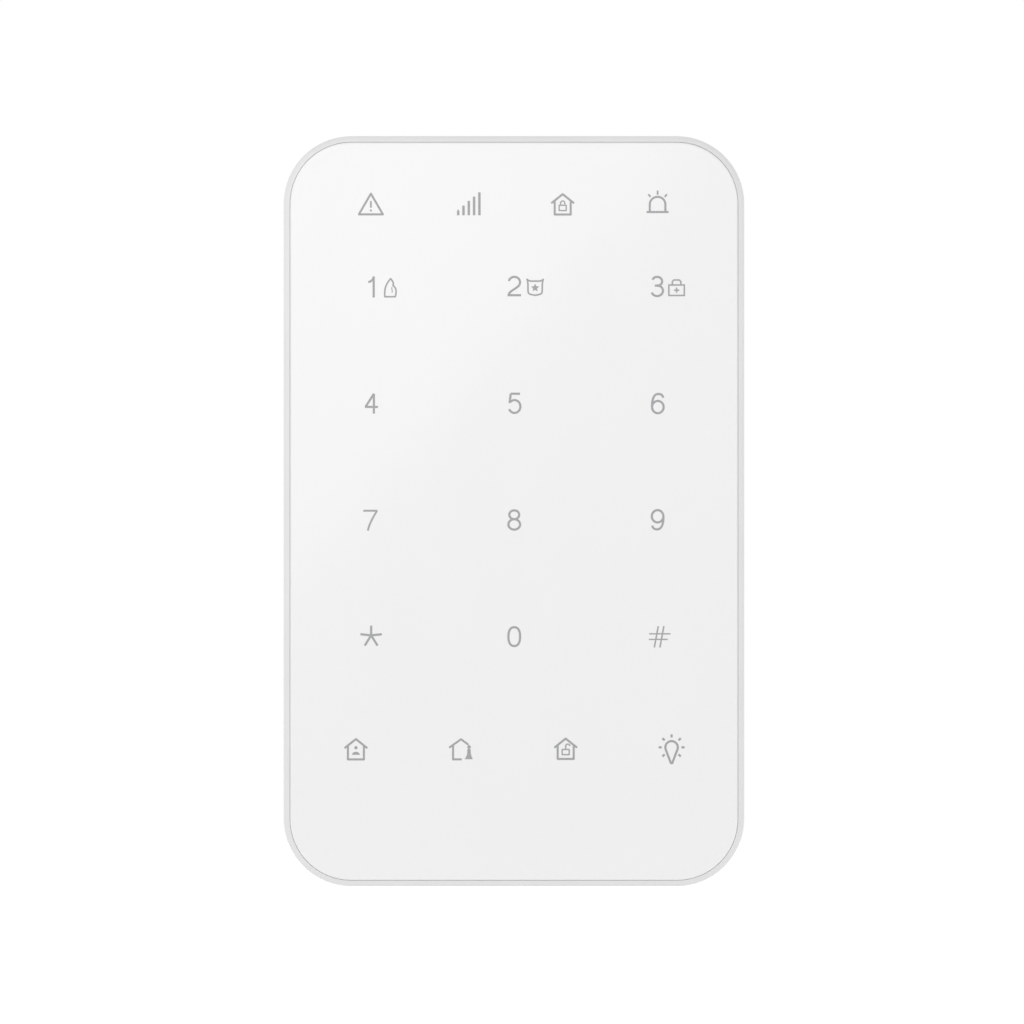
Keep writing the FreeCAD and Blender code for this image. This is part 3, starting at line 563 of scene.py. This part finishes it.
def four():
    across = -0.76
    stem = pen([(0.5, -DIGIT_END), (0.5, DIGIT_TOP)])
    slope = pen([(0.5, DIGIT_TOP), (-1.18, across)])
    return stem + slope + pen([(-1.3, across), (1.32, across)])


def five():
    flag = pen([(1.06, DIGIT_TOP), (-0.8, DIGIT_TOP)])
    back = pen([(-0.8, DIGIT_TOP), (-1.03, 0.02)])
    return flag + back + pen(arc(-0.05, -0.68, 1.18, DIGIT_FOOT - 0.68, 142, -156))


def six():
    hook = curve((1.06, 1.12), (0.98, 1.66), (0.6, DIGIT_TOP), (0.1, DIGIT_TOP))
    spine = curve((0.1, DIGIT_TOP), (-0.82, DIGIT_TOP), (-1.18, 0.8), (-1.16, -0.72))
    return pen(hook, spine) + pen(oval(1.16, DIGIT_FOOT - 0.74, z=-0.74), closed=True)


def seven():
    thin = 0.38
    stem = curve((1.22, DIGIT_TOP), (0.55, 0.75), (-0.35, -0.7), (-0.6, -DIGIT_END))
    return pen([(-1.52, DIGIT_TOP), (1.32, DIGIT_TOP)], width=thin) + pen(stem, width=thin)


def eight():
    return pen(oval(0.99, 0.89, z=0.99), closed=True) + pen(oval(1.17, 1.04, z=-0.94), closed=True)


def nine():
    return turned(six())


def star():
    """Five arms from one point."""
    lengths = ((90, 1.95), (174, 2.15), (6, 2.15), (238, 2.42), (302, 2.42))
    arms = []
    for angle, length in lengths:
        arms += stroke([(0, 0), towards(angle) * length], DIGIT_STROKE)
    return arms


def hash_mark():
    """Two bars that lean, over two level ones."""
    lean = 0.4
    bars = []
    for side, left, right in ((0.56, -1.98, 2.3), (-0.56, -2.05, 1.72)):
        bars += stroke([(side - lean, -2.18), (side + lean, 2.1)], 0.31)
        bars += stroke([(left, side), (right, side)], 0.27)
    return bars


# Symbols, each drawn round its own middle
def house():
    """Roof with eaves, over walls."""
    eave, wall, wall_top, base = 2.15, 1.6, 0.74, -2.04
    roof = stroke([(-eave, 0.32), (0, 2.03), (eave, 0.32)], round_ends=True)
    return roof + stroke([(-wall, wall_top), (-wall, base), (wall, base), (wall, wall_top)])


def padlock(z, open_by=0.0):
    """Lock with its body's top at z; open_by lifts the shackle, which is then moved aside."""
    half, height, bend, line = 0.7, 1.05, 0.42, 0.28
    body = [(-half, z), (-half, z - height), (half, z - height), (half, z)]
    shackle = [Vector((-bend, z))] + arc(0.0, z + 0.45 + open_by, bend, bend, 180, 0)
    if open_by:
        shackle = [p + Vector((bend, 0.0)) for p in shackle]
    else:
        shackle.append(Vector((bend, z)))
    return stroke(body, line, closed=True) + stroke(shackle, line)


def person(x, z):
    """Head over rounded shoulders."""
    return [disc(x, z + 0.7, 0.34), arc(x, z - 0.72, 0.78, 0.62, 0, 180)]


def fault():
    """Triangle with an exclamation mark in it."""
    triangle = stroke([(-2.4, -2.06), (2.4, -2.06), (0, 2.08)], closed=True)
    return triangle + stroke([(0, 0.62), (0, -0.72)], 0.36) + [disc(0, -1.28, 0.22)]


def signal():
    """Five bars that get taller to the right. The first has a pointed top."""
    foot, half, pitch = -2.3, 0.25, 1.06
    first, shoulder, point = -2.12, -1.5, -1.05
    left, right = first - half, first + half
    bars = [[(left, foot), (right, foot), (right, shoulder), (first, point), (left, shoulder)]]
    for i, height in enumerate((1.95, 2.9, 3.75, 4.6)):
        x = (i - 1) * pitch
        bars += stroke([(x, foot), (x, foot + height)], 2 * half)
    return bars


def armed():
    return house() + padlock(-0.2)


def alarm():
    """Beacon on its base, with three rays."""
    half, shoulder, foot, ray = 1.56, -0.7, -2.3, 0.36
    top = arc(0.0, shoulder, half, 1.5, 174, 6)
    dome = [(-half, foot), (-half, shoulder)] + top + [(half, shoulder), (half, foot)]
    marks = stroke(dome) + stroke([(-2.2, -2.24), (2.2, -2.24)])
    marks += stroke([(0, 1.22), (0, 2.05)], ray)
    for side in (-1, 1):
        marks += stroke([(1.42 * side, 0.78), (1.86 * side, 1.32)], ray)
    return marks


def fire():
    """Flame on a flat foot, with a lick on its right."""
    left = curve((-1.23, -1.92), (-1.3, -0.2), (-1.05, 0.45), (-0.07, 1.7))
    notch = curve((-0.07, 1.7), (0.4, 1.2), (0.62, 0.7), (0.42, 0.3))
    right = curve((0.42, 0.3), (1.15, -0.1), (1.15, -1.0), (0.88, -1.92))
    inner = curve((0.25, 0.0), (0.0, -0.4), (0.45, -0.6), (0.2, -1.1))
    return stroke(left[:-1] + notch[:-1] + right, 0.32, closed=True) + stroke(inner, 0.2)


def badge():
    """Shield with two peaks and a five-pointed mark in it."""
    top = curve((-1.62, 1.6), (-1.2, 1.15), (-0.6, 1.25), (0.0, 1.25))
    top += curve((0.0, 1.25), (0.6, 1.25), (1.2, 1.15), (1.62, 1.6))[1:]
    right = curve((1.62, 1.6), (1.3, 0.6), (1.5, -0.3), (1.38, -1.0))
    foot = curve((1.38, -1.0), (1.25, -1.5), (0.5, -1.45), (0.0, -1.6))
    half = right[1:] + foot[1:]
    mirrored = [Vector((-p.x, p.y)) for p in reversed(half[:-1])]
    tip, notch = 0.84, 0.42
    mark = []
    for k in range(10):
        way = Vector((math.sin(k * math.pi / 5), math.cos(k * math.pi / 5)))
        mark.append(Vector((0, -0.1)) + way * (tip, notch)[k % 2])
    return stroke(top + half + mirrored, 0.33, closed=True) + [mark[::-1]]


def medical():
    """Case with a handle and a plus on it."""
    half, top, foot, line = 1.55, 0.5, -1.6, 0.31
    case = [(-half, top), (-half, foot), (half, foot), (half, top)]
    handle = [(-0.85, top), (-0.85, 1.15), (-0.55, 1.5), (0.55, 1.5), (0.85, 1.15), (0.85, top)]
    plus = stroke([(0, -1.08), (0, -0.02)], 0.3) + stroke([(-0.53, -0.55), (0.53, -0.55)], 0.3)
    return stroke(case, line, closed=True) + stroke(handle, line) + plus


def stay():
    return house() + person(0.0, -0.4)


def away():
    """Open house with somebody in a long coat outside it."""
    line = 0.4
    roof = stroke([(-2.25, 0.45), (0.0, 2.05), (1.35, 1.05)], line, round_ends=True)
    walls = stroke([(-1.6, 0.9), (-1.6, -1.98), (0.15, -1.98)], line)
    coat = [(1.28, 0.12), (1.22, -0.9), (1.05, -1.4), (0.7, -1.95),
            (2.36, -1.95), (2.12, -1.4), (1.98, -0.9), (1.88, 0.12)]
    return roof + walls + [disc(1.6, 0.5, 0.36), coat]


def disarmed():
    return house() + padlock(-0.14, open_by=0.2)


def light():
    """Bulb that narrows to its foot, with seven rays."""
    z, radius, line = 0.55, 1.25, 0.44
    ray_start, ray_end = 1.97, 2.6
    centre = Vector((0.0, z))
    foot = [Vector((side * 0.14, z - 3.15)) for side in (-1, 1)]
    glass = arc(0.0, z, radius, radius, -22, 202) + foot
    marks = stroke(glass, line, closed=True)
    for angle in (90, 45, 135, 0, 180, -45, 225):
        way = towards(angle)
        marks += stroke([centre + way * ray_start, centre + way * ray_end], line)
    return marks


# ------------------------------------------------------------------ meshes
PROUD = 0.02 * MM                        # how far a legend stands out of the panel
SUNK = 0.12 * MM                         # and how far it reaches into it


def covered(polygons):
    """Points and triangles that cover every polygon just once."""
    points, rings = [], []
    for polygon in polygons:
        corners = [Vector(p) for p in polygon]
        area = sum(a.cross(b) for a, b in zip(corners, corners[1:] + corners[:1]))
        if area < 0:
            corners.reverse()
        rings.append(list(range(len(points), len(points) + len(corners))))
        points += corners
    inside_rings, tolerance = 1, 1e-5
    flat, _, triangles, _, _, owners = delaunay_2d_cdt(points, [], rings, inside_rings, tolerance)
    return flat, [t for t, owner in zip(triangles, owners) if owner]


def plate_mesh(name, polygons, x, z):
    """Closed thin plate of a flat drawing, set into the panel's face."""
    flat, triangles = covered(moved(polygons, x, z))
    mesh = bmesh.new()
    top = [mesh.verts.new((p.x * MM, FRONT - PROUD, p.y * MM)) for p in flat]
    foot = [mesh.verts.new((p.x * MM, FRONT + SUNK, p.y * MM)) for p in flat]
    rims = {}
    for a, b, c in triangles:
        mesh.faces.new((top[a], top[b], top[c]))
        mesh.faces.new((foot[c], foot[b], foot[a]))
        for edge in ((a, b), (b, c), (c, a)):
            if edge[::-1] in rims:
                del rims[edge[::-1]]
            else:
                rims[edge] = True
    for a, b in rims:
        mesh.faces.new((top[b], top[a], foot[a], foot[b]))
    loose = [v for v in mesh.verts if not v.link_faces]
    bmesh.ops.delete(mesh, geom=loose, context="VERTS")
    return made_object(name, mesh)


def made_object(name, mesh, smooth=False):
    data = bpy.data.meshes.new(name)
    bmesh.ops.recalc_face_normals(mesh, faces=mesh.faces)
    mesh.to_mesh(data)
    mesh.free()
    for polygon in data.polygons:
        polygon.use_smooth = smooth
    piece = bpy.data.objects.new(name, data)
    bpy.context.scene.collection.objects.link(piece)
    return piece


def solid_centres(node):
    """Middle of each separate solid of a CAD node, in reading order, in millimetres."""
    mesh = bmesh.new()
    mesh.from_mesh(NODES[node].data)
    bmesh.ops.remove_doubles(mesh, verts=mesh.verts, dist=1e-7)
    waiting = set(mesh.verts)
    centres = []
    while waiting:
        found, to_visit = set(), [waiting.pop()]
        while to_visit:
            vertex = to_visit.pop()
            found.add(vertex)
            for edge in vertex.link_edges:
                other = edge.other_vert(vertex)
                if other in waiting:
                    waiting.discard(other)
                    to_visit.append(other)
        xs, zs = [v.co.x for v in found], [v.co.z for v in found]
        centres.append(((min(xs) + max(xs)) / 2 / MM, (min(zs) + max(zs)) / 2 / MM))
    mesh.free()
    return sorted(centres, key=lambda c: (-round(c[1], 1), c[0]))


# Each legend in reading order, and how far its middle is from its light's, in millimetres
INDICATORS = (
    ("fault", fault, (0.1, 0.1)),
    ("signal", signal, (0.35, 0.15)),
    ("armed", armed, (0.35, 0.05)),
    ("alarm", alarm, (0.0, 0.75)),
)
KEYS = (
    ("digit_1", one, (0.2, -0.05)),
    ("fire", fire, (-0.2, -0.08)),
    ("digit_2", two, (0.1, 0.1)),
    ("panic", badge, (0.03, -0.12)),
    ("digit_3", three, (0.05, 0.1)),
    ("medical", medical, (-0.3, -0.15)),
    ("digit_4", four, (0.1, 0.05)),
    ("digit_5", five, (0.15, 0.05)),
    ("digit_6", six, (0.15, 0.0)),
    ("digit_7", seven, (0.0, -0.03)),
    ("digit_8", eight, (0.05, 0.05)),
    ("digit_9", nine, (0.1, 0.0)),
    ("star", star, (0.05, 0.25)),
    ("digit_0", zero, (0.05, 0.0)),
    ("hash", hash_mark, (0.4, 0.0)),
    ("stay", stay, (-0.15, 0.05)),
    ("away", away, (-0.1, 0.0)),
    ("disarm", disarmed, (-0.15, 0.15)),
    ("light", light, (0.05, -0.12)),
)


def make_legends():
    ink = legend_grey()
    places = solid_centres("indicator_leds") + solid_centres("key_leds")
    for (name, draw, (dx, dz)), (x, z) in zip(INDICATORS + KEYS, places, strict=True):
        piece = plate_mesh(f"legend_{name}", draw(), x + dx, z + dz)
        piece.data.materials.append(ink)
        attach(piece, "keypad_unit")


SPRING_WIRE = 0.225 * MM                 # radius of the tamper spring's wire
CLOSED_PITCH = 0.62                      # climb of a closed end turn, in diameters of the wire


def make_tamper_spring():
    """Wire spring round the plunger's axis, with closed end turns."""
    low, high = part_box("tamper_spring")
    centre = (low + high) / 2
    radius = (high.x - low.x) / 2 - SPRING_WIRE
    start, end = low.y + SPRING_WIRE, high.y - SPRING_WIRE
    turns, sides, steps_a_turn = 5, 12, 32
    steps = turns * steps_a_turn
    end_turn = CLOSED_PITCH * 2 * SPRING_WIRE / (end - start)     # share of the length
    along = Vector((0, 1, 0))
    mesh = bmesh.new()
    rings = []
    for i in range(steps + 1):
        turn = i / steps_a_turn
        angle = turn * 2 * math.pi
        first = end_turn * min(turn, 1.0)
        middle = max(0.0, min(1.0, (turn - 1.0) / (turns - 2.0)))
        last = end_turn * max(0.0, turn - (turns - 1.0))
        share = first + last + middle * (1 - 2 * end_turn)
        y = start + (end - start) * share
        outward = Vector((math.cos(angle), 0, math.sin(angle)))
        hub = Vector((centre.x, y, centre.z)) + outward * radius
        ring = []
        for side in range(sides):
            a = side * 2 * math.pi / sides
            ring.append(mesh.verts.new(hub + (outward * math.cos(a) + along * math.sin(a)) * SPRING_WIRE))
        rings.append(ring)
    for before, after in zip(rings, rings[1:]):
        for side in range(sides):
            beside = (side + 1) % sides
            mesh.faces.new((before[side], before[beside], after[beside], after[side]))
    mesh.faces.new(rings[0])
    mesh.faces.new(rings[-1])
    spring = made_object("tamper_coil", mesh, smooth=True)
    spring.data.materials.append(bpy.data.materials["spring_steel"])
    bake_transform(spring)
    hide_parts("tamper_spring")


# ------------------------------------------------------------------ stage, light and camera
FLOOR = -0.3                             # z of the floor
FLOOR_RADIUS = 4.0
PALE_RADIUS = 0.14                       # the floor is pale as far as this
WHITE_RADIUS = 0.36                      # and has faded to white here
PALE_GLOW, WHITE_GLOW = 0.08, 1.13


def make_floor():
    """Pale disc that glows white further out, so that it has no edge against the world."""
    mesh = bmesh.new()
    bmesh.ops.create_circle(mesh, cap_ends=True, segments=96, radius=FLOOR_RADIUS)
    floor = made_object("floor", mesh)
    floor.location = (0.0, 0.0, FLOOR)
    look = Look("floor_pale", Roughness=0.8, Specular_IOR_Level=0.1)
    fade = look.mapped(look.radial((0, 0.0), (1, 0.0)), PALE_RADIUS, WHITE_RADIUS, 0.0, 1.0)
    pale = look.tinted(grey(0.9), 0.01, look.noise(0.08))
    look.link("Base Color", look.mixed(fade, pale, grey(0.0)))
    look.shader.inputs["Emission Color"].default_value = grey(1.0)
    look.link("Emission Strength", look.mapped(fade, 0.0, 1.0, PALE_GLOW, WHITE_GLOW))
    floor.data.materials.append(look.material)


def make_world():
    """White studio: the camera sees plain white, and the light from above is a little dimmer."""
    seen_strength, from_below, from_above = 1.0, 1.0, 0.85
    world = bpy.data.worlds.new("studio")
    bpy.context.scene.world = world
    world.use_nodes = True
    nodes, links = world.node_tree.nodes, world.node_tree.links
    background = nodes["Background"]
    coordinates = nodes.new("ShaderNodeTexCoord")
    axes = nodes.new("ShaderNodeSeparateXYZ")
    links.new(coordinates.outputs["Generated"], axes.inputs[0])
    height = nodes.new("ShaderNodeMapRange")
    slope = (("From Min", -1.0), ("From Max", 1.0), ("To Min", from_below), ("To Max", from_above))
    for key, value in slope:
        height.inputs[key].default_value = value
    links.new(axes.outputs[2], height.inputs["Value"])
    path = nodes.new("ShaderNodeLightPath")
    seen = nodes.new("ShaderNodeMix")
    links.new(path.outputs["Is Camera Ray"], seen.inputs[0])
    links.new(height.outputs["Result"], seen.inputs[2])
    seen.inputs[3].default_value = seen_strength
    background.inputs["Color"].default_value = grey(1.0)
    links.new(seen.outputs[0], background.inputs["Strength"])


def area_light(name, place, size, watts):
    """Square light that the camera doesn't see. It points straight down until it is turned."""
    lamp = bpy.data.lights.new(name, "AREA")
    lamp.shape = "SQUARE"
    lamp.size = size
    lamp.energy = watts
    light_object = bpy.data.objects.new(name, lamp)
    light_object.location = place
    light_object.visible_camera = False
    bpy.context.scene.collection.objects.link(light_object)
    return light_object


VIEW_DISTANCE = 1.139                    # from the lens to the panel


def make_lights():
    """Key light from the upper left, and a card by the camera that the glossy panel mirrors."""
    key = area_light("key", (-0.14, -0.24, 0.2), size=0.14, watts=0.099)
    key.rotation_mode = "QUATERNION"
    key.rotation_quaternion = (Vector((0.0, FRONT, 0.0)) - key.location).to_track_quat("-Z", "Y")
    card = area_light("card", (-0.157, FRONT - VIEW_DISTANCE, 0.165), size=0.36, watts=0.33)
    card.rotation_euler = (math.radians(90), math.radians(42), 0.0)


def make_camera():
    """Long lens, square to the panel and all but level with its middle."""
    aside, down = 0.4 * MM, 0.15 * MM
    lens = bpy.data.cameras.new("camera")
    lens.lens = 200.0
    lens.sensor_width = 36.0
    lens.clip_start, lens.clip_end = 0.01, 20.0
    camera = bpy.data.objects.new("camera", lens)
    camera.location = (MIDDLE.x - aside, FRONT - VIEW_DISTANCE, MIDDLE.z - down)
    camera.rotation_euler = (math.radians(90), 0.0, 0.0)
    bpy.context.scene.collection.objects.link(camera)
    bpy.context.scene.camera = camera


def main():
    bpy.context.scene.view_settings.view_transform = "Standard"
    paint_frame()
    make_legends()
    make_tamper_spring()
    make_floor()
    make_world()
    make_lights()
    make_camera()


main()
